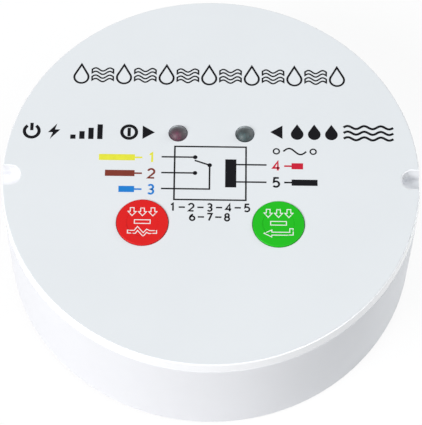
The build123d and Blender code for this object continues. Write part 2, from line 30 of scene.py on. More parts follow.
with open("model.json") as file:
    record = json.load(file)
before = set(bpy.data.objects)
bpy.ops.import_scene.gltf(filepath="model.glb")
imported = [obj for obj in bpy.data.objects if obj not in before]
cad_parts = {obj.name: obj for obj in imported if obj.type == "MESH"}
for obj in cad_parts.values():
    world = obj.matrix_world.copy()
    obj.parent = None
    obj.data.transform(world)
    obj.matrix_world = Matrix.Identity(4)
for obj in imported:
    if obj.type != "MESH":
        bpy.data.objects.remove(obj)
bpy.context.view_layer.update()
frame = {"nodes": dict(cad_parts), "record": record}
nodes = frame["nodes"]

MM = 0.001


def middle(node):
    """The middle of a node's box."""
    low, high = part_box(node)
    return (low + high) / 2


def add_object(name, data):
    """A new object in the scene, with its mesh, light or camera."""
    piece = bpy.data.objects.new(name, data)
    bpy.context.scene.collection.objects.link(piece)
    return piece


# Heights and places read from the model
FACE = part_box("face_label")[1].z
CASE_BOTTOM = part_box("base_housing")[0].z
BOARD_LOW, BOARD_TOP = (corner.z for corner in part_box("circuit_board"))
BUTTONS = {name: middle(name + "_button_cap") for name in ("test", "reset")}
BUTTON_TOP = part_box("test_button_cap")[1].z
LAMPS = {name: middle(name + "_led_lens") for name in ("power", "moisture")}
LAMP_BOTTOM, LAMP_TOP = (corner.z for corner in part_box("power_led_lens"))

# Materials
FINE_STRENGTH = 0.35
NOISE_ROUGHNESS = 0.55
NOISE_LOW = 0.3
NOISE_HIGH = 0.7


def add_node(tree, kind, values=()):
    """A shader node of a kind, with the values of its inputs."""
    node = tree.nodes.new("ShaderNode" + kind)
    set_inputs(node, values)
    return node


def set_inputs(node, values):
    for socket, value in dict(values).items():
        node.inputs[socket].default_value = value


def new_material(name):
    material = bpy.data.materials.new(name)
    material.use_nodes = True
    return material, material.node_tree, material.node_tree.nodes["Principled BSDF"]


def in_object_space(tree, kind, values=()):
    """A node that reads the object's own space, so that its pattern turns with the object."""
    place = add_node(tree, "TexCoord")
    node = add_node(tree, kind, values)
    tree.links.new(place.outputs["Object"], node.inputs["Vector"])
    return node


def noise_factor(tree, scale, detail):
    values = {"Scale": scale, "Detail": detail, "Roughness": NOISE_ROUGHNESS}
    return in_object_space(tree, "TexNoise", values).outputs["Fac"]


def vary_colour(tree, shader, colour, share, scale):
    """Base colour that drifts a little lighter and darker."""
    ramp = add_node(tree, "ValToRGB")
    low, high = ramp.color_ramp.elements
    low.position, high.position = NOISE_LOW, NOISE_HIGH
    low.color = [channel * (1 - share) for channel in colour] + [1]
    high.color = [min(1, channel * (1 + share)) for channel in colour] + [1]
    tree.links.new(noise_factor(tree, scale, 4.0), ramp.inputs["Fac"])
    tree.links.new(ramp.outputs["Color"], shader.inputs["Base Color"])


def vary_roughness(tree, shader, low, high, scale):
    ends = {"From Min": NOISE_LOW, "From Max": NOISE_HIGH, "To Min": low, "To Max": high}
    span = add_node(tree, "MapRange", ends)
    tree.links.new(noise_factor(tree, scale, 3.0), span.inputs["Value"])
    tree.links.new(span.outputs["Result"], shader.inputs["Roughness"])


def add_bump(tree, shader, pattern, height, strength=1.0):
    bump = add_node(tree, "Bump", {"Strength": strength, "Distance": height})
    tree.links.new(pattern, bump.inputs["Height"])
    tree.links.new(bump.outputs["Normal"], shader.inputs["Normal"])


def grain(tree, shader, scale, height, strength=FINE_STRENGTH):
    """Fine bumps, such as spark-eroded plastic or a matt film."""
    add_bump(tree, shader, noise_factor(tree, scale, 5.0), height, strength)


def surface(name, drift, roughness, bumps, finish=()):
    """A material whose colour and roughness drift a little, with fine bumps on it."""
    material, tree, shader = new_material(name)
    vary_colour(tree, shader, **drift)
    vary_roughness(tree, shader, **roughness)
    grain(tree, shader, **bumps)
    set_inputs(shader, finish)
    return material


def plastic(
    name, colour, roughness=0.4, grain_scale=2500, grain_height=0.01, variation=0.02, gloss=0.5
):
    """Moulded plastic. The grain's height is in millimetres."""
    return surface(
        name,
        drift=dict(colour=colour, share=variation, scale=60),
        roughness=dict(low=roughness - 0.05, high=roughness + 0.06, scale=220),
        bumps=dict(scale=grain_scale, height=grain_height * MM),
        finish={"Specular IOR Level": gloss, "IOR": 1.5},
    )


def film(name, colour):
    """Printed polyester: even, faintly pearly, with a very fine matt texture."""
    return surface(
        name,
        drift=dict(colour=colour, share=0.012, scale=35),
        roughness=dict(low=0.42, high=0.5, scale=400),
        bumps=dict(scale=9000, height=0.004 * MM, strength=0.3),
        finish={"Coat Weight": 0.08, "Coat Roughness": 0.3},
    )


def ink(name, colour):
    """Screen-printed ink, with the slight pinholes and swell of its mesh."""
    return surface(
        name,
        drift=dict(colour=colour, share=0.05, scale=900),
        roughness=dict(low=0.5, high=0.65, scale=1500),
        bumps=dict(scale=6000, height=0.004 * MM, strength=0.4),
        finish={"Specular IOR Level": 0.06},
    )


def rubber(name, colour):
    return surface(
        name,
        drift=dict(colour=colour, share=0.15, scale=250),
        roughness=dict(low=0.6, high=0.8, scale=500),
        bumps=dict(scale=3500, height=0.02 * MM, strength=0.5),
    )


def epoxy(name, colour):
    """Cast lens resin: smoky, softly clear, with faint flow clouds and a hazy skin."""
    return surface(
        name,
        drift=dict(colour=colour, share=0.08, scale=500),
        roughness=dict(low=0.44, high=0.52, scale=800),
        bumps=dict(scale=1500, height=0.004 * MM, strength=0.1),
        finish={
            "Transmission Weight": 0.95,
            "IOR": 1.55,
            "Specular IOR Level": 0.15,
            "Sheen Weight": 1.0,
            "Sheen Roughness": 0.45,
            "Sheen Tint": (0.88, 0.96, 1.0, 1),
        },
    )


def metal(name, colour, roughness=0.3, streak=True):
    """Turned, drawn or plated metal. Streaks are fine marks along one way."""
    material, tree, shader = new_material(name)
    set_inputs(shader, {"Metallic": 1.0})
    vary_colour(tree, shader, colour, share=0.06, scale=300)
    vary_roughness(tree, shader, roughness - 0.08, roughness + 0.1, scale=700)
    if streak:
        stretch = in_object_space(tree, "Mapping", {"Scale": (9000, 400, 400)})
        noise = add_node(tree, "TexNoise", {"Scale": 1.0})
        tree.links.new(stretch.outputs["Vector"], noise.inputs["Vector"])
        add_bump(tree, shader, noise.outputs["Fac"], 0.01 * MM, strength=0.25)
    return material


def board_laminate(name, colour):
    """Solder mask over copper tracks: narrow lighter lanes on a green ground."""
    material, tree, shader = new_material(name)
    values = {
        "Scale": 160,
        "Color1": colour + [1],
        "Color2": [channel * 0.9 for channel in colour] + [1],
        "Mortar": [min(1, channel * 1.9 + 0.01) for channel in colour] + [1],
        "Mortar Size": 0.06,
    }
    lanes = in_object_space(tree, "TexBrick", values)
    tree.links.new(lanes.outputs["Color"], shader.inputs["Base Color"])
    vary_roughness(tree, shader, 0.25, 0.4, scale=300)
    grain(tree, shader, scale=4000, height=0.005 * MM)
    return material


def winding_wire(name, colour):
    """Enamelled wire, wound in level layers."""
    material, tree, shader = new_material(name)
    set_inputs(shader, {"Metallic": 0.8})
    vary_colour(tree, shader, colour, share=0.1, scale=600)
    vary_roughness(tree, shader, 0.25, 0.4, scale=600)
    turns = in_object_space(tree, "TexWave", {"Scale": 1600})
    turns.bands_direction = "Z"
    add_bump(tree, shader, turns.outputs["Fac"], 0.08 * MM)
    return material


def slot_materials():
    """One material for each slot of the record."""
    shell = dict(roughness=0.5, grain_scale=2200, grain_height=0.012, variation=0.012, gloss=0.3)
    button = dict(roughness=0.45, grain_scale=2600, grain_height=0.008, variation=0.04, gloss=0.2)
    dipped = dict(roughness=0.28, grain_scale=900, grain_height=0.03)
    return {
        "shell_white": plastic("shell_white", [0.846, 0.851, 0.882], **shell),
        "label_blue_grey": film("label_film", [0.782, 0.808, 0.838]),
        "button_red": plastic("button_red", [0.72, 0.014, 0.014], **button),
        "button_green": plastic("button_green", [0.014, 0.486, 0.012], **button),
        "lens_red_tint": epoxy("lens_red_tint", [0.185, 0.045, 0.125]),
        "lens_clear": epoxy("lens_clear", [0.128, 0.19, 0.205]),
        "black_plastic": plastic("black_plastic", [0.02, 0.02, 0.021], roughness=0.45),
        "ivory_plastic": plastic("ivory_plastic", [0.78, 0.75, 0.64], roughness=0.4),
        "relay_shell": plastic("relay_shell", [0.75, 0.55, 0.12], roughness=0.25),
        "terminal_green": plastic("terminal_green", [0.03, 0.28, 0.08], roughness=0.35),
        "capacitor_sleeve": plastic("capacitor_sleeve", [0.03, 0.035, 0.09], roughness=0.22),
        "varistor_blue": plastic("varistor_blue", [0.04, 0.14, 0.5], **dipped),
        "resistor_tan": plastic("resistor_tan", [0.62, 0.46, 0.28], roughness=0.35),
        "board_green": board_laminate("board_green", [0.02, 0.16, 0.06]),
        "stainless": metal("stainless", [0.72, 0.72, 0.71], roughness=0.26),
        "zinc_steel": metal("zinc_steel", [0.66, 0.68, 0.72], roughness=0.32),
        "brass": metal("brass", [0.78, 0.56, 0.24], roughness=0.28),
        "copper": metal("copper", [0.78, 0.38, 0.2], roughness=0.25),
        "tinned": metal("tinned", [0.78, 0.78, 0.8], roughness=0.2, streak=False),
        "rubber_black": rubber("rubber_black", [0.02, 0.02, 0.02]),
        "rubber_grey": rubber("rubber_grey", [0.2, 0.2, 0.21]),
    }


def lid_material():
    """Glossier plastic than the cup's, and brighter: the lighter colour is painted light on the
    rim band and in the notch.
    """
    look = dict(roughness=0.2, grain_scale=2200, grain_height=0.006, variation=0.01, gloss=0.9)
    material = plastic("lid_white_painted_light", [0.945, 0.95, 0.975], **look)
    shader = material.node_tree.nodes["Principled BSDF"]
    set_inputs(shader, {"Coat Weight": 0.7, "Coat Roughness": 0.12})
    return material


def dress_nodes(materials):
    """Every node takes the material of its slot, apart from the lid and the winding."""
    for entry in frame["record"]["subparts"]:
        for slot in nodes[entry["node"]].material_slots:
            slot.material = materials[entry["material_slot"]]
    nodes["top_cover"].material_slots[0].material = lid_material()
    wire = winding_wire("winding_wire", [0.72, 0.3, 0.14])
    nodes["relay_winding"].material_slots[0].material = wire
    for name in ("base_housing", "top_cover"):
        even = nodes[name].modifiers.new("even_shading", "WEIGHTED_NORMAL")
        even.keep_sharp = True


# Flat shapes, in millimetres
ROUND_STEPS = 40
DROP_STEPS = 28
WAVE_STEPS = 16
MITRE_LIMIT = 0.5


def arc(x, y, radius, start, end, steps=ROUND_STEPS):
    """Points of an arc between two angles in degrees."""
    turns = [math.radians(start + (end - start) * step / steps) for step in range(steps + 1)]
    return [(x + radius * math.cos(turn), y + radius * math.sin(turn)) for turn in turns]


def circle(x, y, radius):
    return arc(x, y, radius, 0, 360)[:-1]


def rectangle(left, bottom, right, top):
    return [(left, bottom), (right, bottom), (right, top), (left, top)]


def stroke(points, width, closed=False):
    """Quads along a line of points, with mitred corners."""
    points = [Vector(point) for point in points]
    count = len(points)
    pairs = []
    for index, point in enumerate(points):
        ways = []
        if index > 0 or closed:
            ways.append((point - points[index - 1]).normalized())
        if index < count - 1 or closed:
            ways.append((points[(index + 1) % count] - point).normalized())
        along = sum(ways, Vector((0, 0))).normalized()
        across = Vector((-along.y, along.x))
        spread = max(MITRE_LIMIT, across.dot(Vector((-ways[0].y, ways[0].x))))
        half = across * (width / 2 / spread)
        pairs.append((point - half, point + half))
    quads = []
    for index in range(count if closed else count - 1):
        a, b = pairs[index], pairs[(index + 1) % count]
        quads.append([tuple(corner) for corner in (a[0], b[0], b[1], a[1])])
    return quads


def wave(left, right, y, height, cycles):
    """Points of a sine from left to right."""
    count = round(cycles * WAVE_STEPS)
    points = []
    for step in range(count + 1):
        turn = 2 * math.pi * cycles * step / count
        points.append((left + (right - left) * step / count, y + height * math.sin(turn)))
    return points


def droplet(x, bottom, height, radius):
    """A drop's outline: a round belly and a point on top."""
    lean = math.degrees(math.asin(radius / (height - radius)))
    belly = arc(x, bottom + radius, radius, 180 - lean, 360 + lean, DROP_STEPS)
    return belly + [(x, bottom + height)]


def moved(points, x, y):
    return [(across + x, up + y) for across, up in points]


# Print: heights in metres, and the dish's radius in millimetres, as the flat shapes are
INK = 0.02 * MM
INK_STEP = 0.0006 * MM
SAME_POINT = 0.001 * MM
BUTTON_DISH = 0.12 * MM
DISH_RADIUS = 3.9


def add_piece(name, work, material, body):
    """Turn a bmesh into a piece that rides on a body."""
    mesh = bpy.data.meshes.new(name)
    work.to_mesh(mesh)
    work.free()
    piece = add_object(name, mesh)
    mesh.materials.append(material)
    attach(piece, body)


def face_islands(work):
    """Groups of faces that share corners, in the order they were made."""
    islands = []
    for face in work.faces:
        face.tag = False
    for start in work.faces:
        if start.tag:
            continue
        start.tag = True
        island = [start]
        for face in island:
            for near in [near for corner in face.verts for near in corner.link_faces]:
                if not near.tag:
                    near.tag = True
                    island.append(near)
        islands.append(island)
    return islands


def face_level(x, y):
    return FACE


def board_level(x, y):
    return BOARD_TOP


def button_level(x, y):
    """Height of a button's top: flat, with a shallow round dish."""
    return BUTTON_TOP if math.hypot(x, y) > DISH_RADIUS else BUTTON_TOP - BUTTON_DISH


def printed(
    name, shapes, material, x=0, y=0, level=face_level, body="housing", slot="label_blue_grey"
):
    """A layer of ink on a surface, made of flat shapes round the place (x, y) in metres."""
    work = bmesh.new()
    for shape in shapes:
        corners = [(x + right * MM, y + up * MM, level(right, up)) for right, up in shape]
        work.faces.new([work.verts.new(corner) for corner in corners])
    bmesh.ops.remove_doubles(work, verts=work.verts, dist=SAME_POINT)
    # Where two shapes of a layer cross, one lies a hair higher
    for index, island in enumerate(face_islands(work)):
        corners = list({corner for face in island for corner in face.verts})
        bmesh.ops.translate(work, verts=corners, vec=(0, 0, index * INK_STEP))
    bmesh.ops.recalc_face_normals(work, faces=work.faces)
    lifted = bmesh.ops.extrude_face_region(work, geom=work.faces[:])["geom"]
    corners = [item for item in lifted if isinstance(item, bmesh.types.BMVert)]
    bmesh.ops.translate(work, verts=corners, vec=(0, 0, INK))
    bmesh.ops.recalc_face_normals(work, faces=work.faces)
    add_piece(name, work, material, body)


# Plain numbers: pen lines one unit high and about 0.6 wide
DIGIT_LINES = {
    "1": [[(0.12, 0.8), (0.36, 1), (0.36, 0)]],
    "2": [arc(0.3, 0.7, 0.3, 165, -35, 12) + [(0, 0), (0.6, 0)]],
    "3": [arc(0.28, 0.76, 0.24, 150, -90, 12) + arc(0.28, 0.26, 0.26, 90, -150, 12)[1:]],
    "4": [[(0.46, 0), (0.46, 1), (0, 0.28), (0.64, 0.28)]],
    "5": [[(0.56, 1), (0.12, 1), (0.06, 0.54)] + arc(0.28, 0.31, 0.31, 122, -145, 14)],
    "6": [arc(0.3, 0.3, 0.3, 0, 360, 24)[:-1] + [(0.6, 0.3)], arc(0.62, 0.3, 0.62, 180, 112, 8)],
    "7": [[(0, 1), (0.58, 1), (0.2, 0)]],
    "8": [arc(0.3, 0.76, 0.24, 0, 360, 20), arc(0.3, 0.27, 0.28, 0, 360, 24)],
}


def numeral(name, digit, x, y, height, line, material):
    """A plain number whose lower left corner is at (x, y)."""
    for index, points in enumerate(DIGIT_LINES[digit]):
        placed = [(x + right * height, y + up * height) for right, up in points]
        printed("%s_%d" % (name, index + 1), stroke(placed, line), material)


# Printed face. The print is generic: drops, ripples, plain symbols and numbers.
TITLE_LEFT = -34.2
TITLE_RIGHT = 32.7
TITLE_BASE = 26.4
TITLE_HEIGHT = 5.4
TITLE_DROPS = 7
TITLE_DROP_RADIUS = 1.75
TITLE_GAP = 0.9
TITLE_LINE = 0.5
RIPPLE_LINE = 0.4
RIPPLE_RISES = (0.9, 3.0)
RIPPLE_THICKNESS = 1.0
RIPPLE_HEIGHT = 0.45
RIPPLE_CYCLES = 1.5


def title_band(black):
    """Outlined drops with outlined ripples between them, across the top of the face."""
    shapes = []
    radius = TITLE_DROP_RADIUS
    pitch = (TITLE_RIGHT - TITLE_LEFT - 2 * radius) / (TITLE_DROPS - 1)
    for index in range(TITLE_DROPS):
        x = TITLE_LEFT + radius + pitch * index
        drop = droplet(x, TITLE_BASE, TITLE_HEIGHT, radius)
        shapes += stroke(drop, TITLE_LINE, closed=True)
        if index == TITLE_DROPS - 1:
            break
        left, right = x + radius + TITLE_GAP, x + pitch - radius - TITLE_GAP
        for rise in RIPPLE_RISES:
            y = TITLE_BASE + rise
            lower = wave(left, right, y, RIPPLE_HEIGHT, RIPPLE_CYCLES)
            upper = wave(left, right, y + RIPPLE_THICKNESS, RIPPLE_HEIGHT, RIPPLE_CYCLES)
            shapes += stroke(lower + upper[::-1], RIPPLE_LINE, closed=True)
    printed("title_drop_band", shapes, black)


POINTER_LENGTH = 3.0
POINTER_HALF = 1.9
SYMBOL_LINE = 0.8
SYMBOL_RADIUS = 1.8

POWER_Y = 12.4
POWER_X = -44.1
POWER_ARC = (125, 415)
POWER_BAR_LOW = 0.2
POWER_BAR_HIGH = 2.3
SPARK_X = -38.6
SPARK = [(0.7, 2.2), (-1.5, -0.3), (-0.3, -0.3), (-1.0, -2.2), (1.5, 0.5), (0.2, 0.5)]
LEVELS_LEFT = -34.6
LEVELS_BOTTOM = -2.1
LEVELS_FIRST_TOP = -0.9
LEVEL_COUNT = 4
LEVEL_PITCH = 2.2
LEVEL_WIDTH = 1.3
LEVEL_STEP = 1.0
ON_X = -20.2
ON_BAR_HALF = 1.2
POWER_POINTER_LEFT = -16.9


def power_symbols(black):
    """In front of the left lamp: power, spark, level bars, the sign for on, and a pointer."""
    y = POWER_Y
    half = SYMBOL_LINE / 2
    power = stroke(arc(POWER_X, y, SYMBOL_RADIUS, *POWER_ARC), SYMBOL_LINE)
    power.append(rectangle(POWER_X - half, y + POWER_BAR_LOW, POWER_X + half, y + POWER_BAR_HIGH))
    levels = []
    for index in range(LEVEL_COUNT):
        left = LEVELS_LEFT + LEVEL_PITCH * index
        top = y + LEVELS_FIRST_TOP + LEVEL_STEP * index
        levels.append(rectangle(left, y + LEVELS_BOTTOM, left + LEVEL_WIDTH, top))
    sign_on = stroke(circle(ON_X, y, SYMBOL_RADIUS), SYMBOL_LINE, closed=True)
    sign_on.append(rectangle(ON_X - half, y - ON_BAR_HALF, ON_X + half, y + ON_BAR_HALF))
    left = POWER_POINTER_LEFT
    pointer = [(left, y - POINTER_HALF), (left + POINTER_LENGTH, y), (left, y + POINTER_HALF)]
    printed("power_symbol", power, black)
    printed("spark_symbol", [moved(SPARK, SPARK_X, y)], black)
    printed("level_symbol", levels, black)
    printed("on_symbol", sign_on, black)
    printed("power_pointer", [pointer], black)


MOISTURE_Y = 12.9
MOISTURE_POINTER_RIGHT = 17.4
DROP_PLACES = (21.0, 25.2, 29.4)
DROP_BOTTOM = -2.1
DROP_HEIGHT = 4.4
DROP_RADIUS = 1.55
WATER_LEFT = 32.4
WATER_RIGHT = 44.6
WATER_LEVELS = (-1.6, 0.0, 1.6)
WATER_HEIGHT = 0.42
WATER_CYCLES = 3
WATER_LINE = 0.62


def moisture_symbols(black):
    """Beside the right lamp: a pointer, and drops that fall on rippled water."""
    y = MOISTURE_Y
    right = MOISTURE_POINTER_RIGHT
    pointer = [(right, y - POINTER_HALF), (right, y + POINTER_HALF), (right - POINTER_LENGTH, y)]
    printed("moisture_pointer", [pointer], black)
    for index, x in enumerate(DROP_PLACES):
        drop = droplet(x, y + DROP_BOTTOM, DROP_HEIGHT, DROP_RADIUS)
        printed("drop_symbol_%d" % (index + 1), [drop], black)
    ripples = []
    for level in WATER_LEVELS:
        water = wave(WATER_LEFT, WATER_RIGHT, y + level, WATER_HEIGHT, WATER_CYCLES)
        ripples += stroke(water, WATER_LINE)
    printed("ripple_symbol", ripples, black)


BOX_LEFT = -8.9
BOX_RIGHT = 8.5
BOX_BOTTOM = -6.4
BOX_TOP = 8.5
LINE = 0.4
DOT = 0.55
YELLOW_Y = 5.5
BROWN_Y = 1.05
BLUE_Y = -3.4
RED_Y = 3.55
BLACK_Y = -1.3
COMMON_X = -0.35
COMMON_Y = 3.3
CONTACT_X = -3.9
LINES_START = -12.1
LINES_END = 13.5
COIL_LEFT = 3.45
COIL_RIGHT = 6.15
COIL_BOTTOM = -2.85
COIL_TOP = 5.0
COIL_OVERLAP = 0.05
ARM_TIP = (-4.0, 4.6)


def relay_diagram(black):
    """The usual diagram of a relay: a changeover contact on the left and a coil on the right."""
    shapes = stroke(rectangle(BOX_LEFT, BOX_BOTTOM, BOX_RIGHT, BOX_TOP), LINE, closed=True)
    for y in (YELLOW_Y, BROWN_Y):
        shapes += stroke([(LINES_START, y), (CONTACT_X, y)], LINE)
        shapes.append(circle(CONTACT_X, y, DOT))
    common = (COMMON_X, COMMON_Y)
    shapes += stroke([(LINES_START, BLUE_Y), (COMMON_X, BLUE_Y), common], LINE)
    shapes.append(circle(COMMON_X, COMMON_Y, DOT))
    shapes += stroke([common, ARM_TIP], LINE)
    shapes.append(rectangle(COIL_LEFT, COIL_BOTTOM, COIL_RIGHT, COIL_TOP))
    for y in (RED_Y, BLACK_Y):
        shapes += stroke([(COIL_RIGHT - COIL_OVERLAP, y), (LINES_END, y)], LINE)
    printed("relay_diagram", shapes, black)


WIRE_HALF = 0.85
CORE_HALF = 0.22
CORE_LENGTH = 1.8
WIRE_DROP = 0.25
LEFT_WIRES_END = -18.6
RIGHT_WIRES_START = 19.6
LEFT_NUMBERS = -15.3
RIGHT_NUMBERS = 15.1
NUMBER_HEIGHT = 2.5
NUMBER_LINE = 0.5
# Colour, terminal, and where the insulation ends and its middle lies
LEFT_WIRES = (
    ("yellow", "1", -27.4, YELLOW_Y - WIRE_DROP),
    ("brown", "2", -25.8, BROWN_Y - WIRE_DROP),
    ("blue", "3", -22.4, BLUE_Y - WIRE_DROP),
)
RIGHT_WIRES = (("red", "4", 22.4, RED_Y - WIRE_DROP), ("black", "5", 25.9, BLACK_Y))


def wire_marks(inks):
    """A stretch of insulated wire in its colour, and its terminal's number, for each lead."""

    def mark(colour, number, insulation, core, number_x, y):
        shapes = [
            rectangle(insulation[0], y - WIRE_HALF, insulation[1], y + WIRE_HALF),
            rectangle(core[0], y - CORE_HALF, core[1], y + CORE_HALF),
        ]
        printed(colour + "_wire_mark", shapes, inks[colour])
        low = y - NUMBER_HEIGHT / 2
        name = colour + "_wire_number"
        numeral(name, number, number_x, low, NUMBER_HEIGHT, NUMBER_LINE, inks[colour])

    end, start = LEFT_WIRES_END, RIGHT_WIRES_START
    for colour, number, left, y in LEFT_WIRES:
        mark(colour, number, (left, end), (end, end + CORE_LENGTH), LEFT_NUMBERS, y)
    for colour, number, right, y in RIGHT_WIRES:
        mark(colour, number, (start, right), (start - CORE_LENGTH, start), RIGHT_NUMBERS, y)


SUPPLY_Y = 7.45
SUPPLY_LEFT = 17.6
SUPPLY_RIGHT = 23.2
SUPPLY_HEIGHT = 0.85
SUPPLY_LINE = 0.42
TERMINAL_PLACES = (15.9, 24.9)
TERMINAL_RADIUS = 0.72
TERMINAL_LINE = 0.36


def supply_symbol(black):
    """Alternating supply: a sine between two terminals."""
    sine = wave(SUPPLY_LEFT, SUPPLY_RIGHT, SUPPLY_Y, SUPPLY_HEIGHT, 1)
    shapes = stroke(sine, SUPPLY_LINE)
    for x in TERMINAL_PLACES:
        shapes += stroke(circle(x, SUPPLY_Y, TERMINAL_RADIUS), TERMINAL_LINE, closed=True)
    printed("supply_symbol", shapes, black)


# Base line, height, numbers and their middles, for each row under the diagram
NUMBER_ROWS = (
    (-9.5, 2.0, "12345", (-9.2, -4.7, -0.2, 4.3, 8.8)),
    (-12.1, 1.9, "678", (-4.4, -0.2, 4.0)),
)
ROW_LINE = 0.42
DIGIT_HALF = 0.3
DASH_HALF = 0.75
DASH_HALF_LINE = 0.2


def contact_numbers(black):
    """Plain terminal numbers under the diagram, with dashes between them."""
    for row, (base, height, digits, places) in enumerate(NUMBER_ROWS):
        for digit, x in zip(digits, places):
            left = x - height * DIGIT_HALF
            numeral("terminal_number_" + digit, digit, left, base, height, ROW_LINE, black)
        dashes = []
        y = base + height / 2
        for before, after in zip(places, places[1:]):
            x = (before + after) / 2
            left, right = x - DASH_HALF, x + DASH_HALF
            dashes.append(rectangle(left, y - DASH_HALF_LINE, right, y + DASH_HALF_LINE))
        printed("terminal_dashes_%d" % (row + 1), dashes, black)


# Buttons' print: closed outlines, as (x, y) from the button's middle
OUTLINE = 0.22
OUTLINE_STEP = 0.3
ARROW_PLACES = (-2.5, 0, 2.5)
ARROW = [(-0.45, 3.9), (0.45, 3.9), (0.45, 2.9), (1.0, 2.9), (0, 1.75), (-1.0, 2.9), (-0.45, 2.9)]
PLATE = [(-1.9, 0.65), (1.9, 0.65), (1.9, -0.35), (-1.9, -0.35)]
PULSE = [
    (-3.5, -2.3), (-1.9, -2.3), (-1.1, -1.2), (0.3, -2.9), (1.1, -1.9), (1.8, -2.3), (3.5, -2.3),
    (3.5, -3.1), (1.6, -3.1), (1.1, -2.8), (0.3, -3.9), (-1.1, -2.3), (-1.6, -3.1), (-3.5, -3.1),
]
RETURN = [
    (3.5, -1.3), (3.5, -3.1), (-1.6, -3.1), (-1.6, -3.7), (-3.5, -2.7), (-1.6, -1.7), (-1.6, -2.3),
    (2.7, -2.3), (2.7, -1.3),
]


def outline(points):
    """A closed thin line in short steps, so that it can follow the dish."""
    fine = []
    for start, end in zip(points, points[1:] + points[:1]):
        steps = max(1, math.ceil(math.dist(start, end) / OUTLINE_STEP))
        for step in range(steps):
            share = step / steps
            x = start[0] + (end[0] - start[0]) * share
            fine.append((x, start[1] + (end[1] - start[1]) * share))
    return stroke(fine, OUTLINE, closed=True)


def button_print(name, symbol, slot, white):
    """Three arrows over a plate, which mean press, and the button's own symbol."""
    shapes = outline(PLATE)
    for x in ARROW_PLACES:
        shapes += outline(moved(ARROW, x, 0))
    shapes += outline(symbol)
    place = dict(x=BUTTONS[name].x, y=BUTTONS[name].y, level=button_level)
    printed(name + "_button_print", shapes, white, body=name + "_button", slot=slot, **place)


def face_print():
    inks = {
        "black": ink("ink_black", [0.008, 0.008, 0.01]),
        "yellow": ink("ink_yellow", [0.80, 0.78, 0.06]),
        "brown": ink("ink_brown", [0.22, 0.045, 0.03]),
        "blue": ink("ink_blue", [0.02, 0.22, 0.65]),
        "red": ink("ink_red", [0.6, 0.02, 0.045]),
    }
    white = ink("ink_white", [0.86, 0.86, 0.85])
    title_band(inks["black"])
    power_symbols(inks["black"])
    moisture_symbols(inks["black"])
    relay_diagram(inks["black"])
    wire_marks(inks)
    supply_symbol(inks["black"])
    contact_numbers(inks["black"])
    button_print("test", PULSE, "button_red", white)
    button_print("reset", RETURN, "button_green", white)


# Lamps: the lead frame's cup and post inside each lens. Lengths are in millimetres.
LAMP_CHIPS = {"power": [0.52, 0.015, 0.24], "moisture": [0.16, 0.3, 0.3]}
CUP_DEPTH = 2.9
STEM_FOOT = 0.3
CUP_X = -0.35
POST_X = 1.25
# Pairs of a radius and a height over the cup's rim. The stems' feet come before them.
CUP_STEM = 0.45
CUP = [(0.45, -1.3), (1.25, -0.9), (1.25, 0), (1.15, 0), (0.4, -0.5)]
CHIP = [(0.7, -0.25), (1.1, 0), (1.0, 0.25), (0.65, 0.45), (0.2, 0.55)]
POST_STEM = 0.3
POST = [(0.3, -0.4), (0.45, -0.2), (0.2, 0)]
FINE_TURN = 32
PLAIN_TURN = 16


def turned(name, profile, centres, steps, material):
    """Round pieces from (radius, height) pairs in metres, one upright at each centre."""
    work = bmesh.new()
    turns = [2 * math.pi * step / steps for step in range(steps)]
    ways = [(math.cos(turn), math.sin(turn)) for turn in turns]
    for x, y in centres:
        rings = []
        for radius, z in profile:
            places = [(x + radius * across, y + radius * along, z) for across, along in ways]
            rings.append([work.verts.new(place) for place in places])
        for low, high in zip(rings, rings[1:]):
            for step in range(steps):
                after = (step + 1) % steps
                work.faces.new((low[step], low[after], high[after], high[step]))
        work.faces.new(rings[0][::-1])
        work.faces.new(rings[-1])
    bmesh.ops.recalc_face_normals(work, faces=work.faces)
    for face in work.faces:
        face.smooth = len(face.verts) == 4
    add_piece(name, work, material, "housing")


def lamp_inside(lamp, cup_painted_shade_metal, post_metal):
    """The reflector cup in dark metal, painted shade that darkens the lens's lower edge; the
    tinted drop of resin over its chip; and the thin post beside it.
    """
    rim = LAMP_TOP - CUP_DEPTH * MM
    foot = LAMP_BOTTOM + STEM_FOOT * MM

    def rising(pairs):
        return [(radius * MM, rim + height * MM) for radius, height in pairs]

    cup_place = (LAMPS[lamp].x + CUP_X * MM, LAMPS[lamp].y)
    post_place = (LAMPS[lamp].x + POST_X * MM, LAMPS[lamp].y)
    cup = [(CUP_STEM * MM, foot)] + rising(CUP)
    post = [(POST_STEM * MM, foot)] + rising(POST)
    resin_look = dict(roughness=0.4, grain_scale=900, grain_height=0.02, variation=0.1)
    resin = plastic(lamp + "_chip_resin", LAMP_CHIPS[lamp], **resin_look)
    turned(lamp + "_led_cup", cup, [cup_place], FINE_TURN, cup_painted_shade_metal)
    turned(lamp + "_led_chip", rising(CHIP), [cup_place], FINE_TURN, resin)
    turned(lamp + "_led_post", post, [post_place], PLAIN_TURN, post_metal)


# Circuit board: a cone of solder round each pin
PIN_SPREAD = 0.9 * MM
PIN_REACH = 0.5 * MM
SOLDER_RADIUS = 0.62 * MM
SOLDER_HEIGHT = 0.9 * MM
# Shares of the solder's radius and height, from the board down
SOLDER_SHARES = ((1, 0), (0.85, 0.2), (0.66, 0.6), (0.58, 1))
# Outlines printed on it round the parts, with their margin and line in millimetres
BOXED_PARTS = (
    "relay_base",
    "terminal_block",
    "bridge_rectifier",
    "sensor_chip",
    "voltage_regulator",
    "varistor",
    "test_switch_body",
    "reset_switch_body",
)
RINGED_PARTS = ("smoothing_capacitor", "power_led_spacer", "moisture_led_spacer")
BOARD_MARGIN = 0.6
BOARD_LINE = 0.2


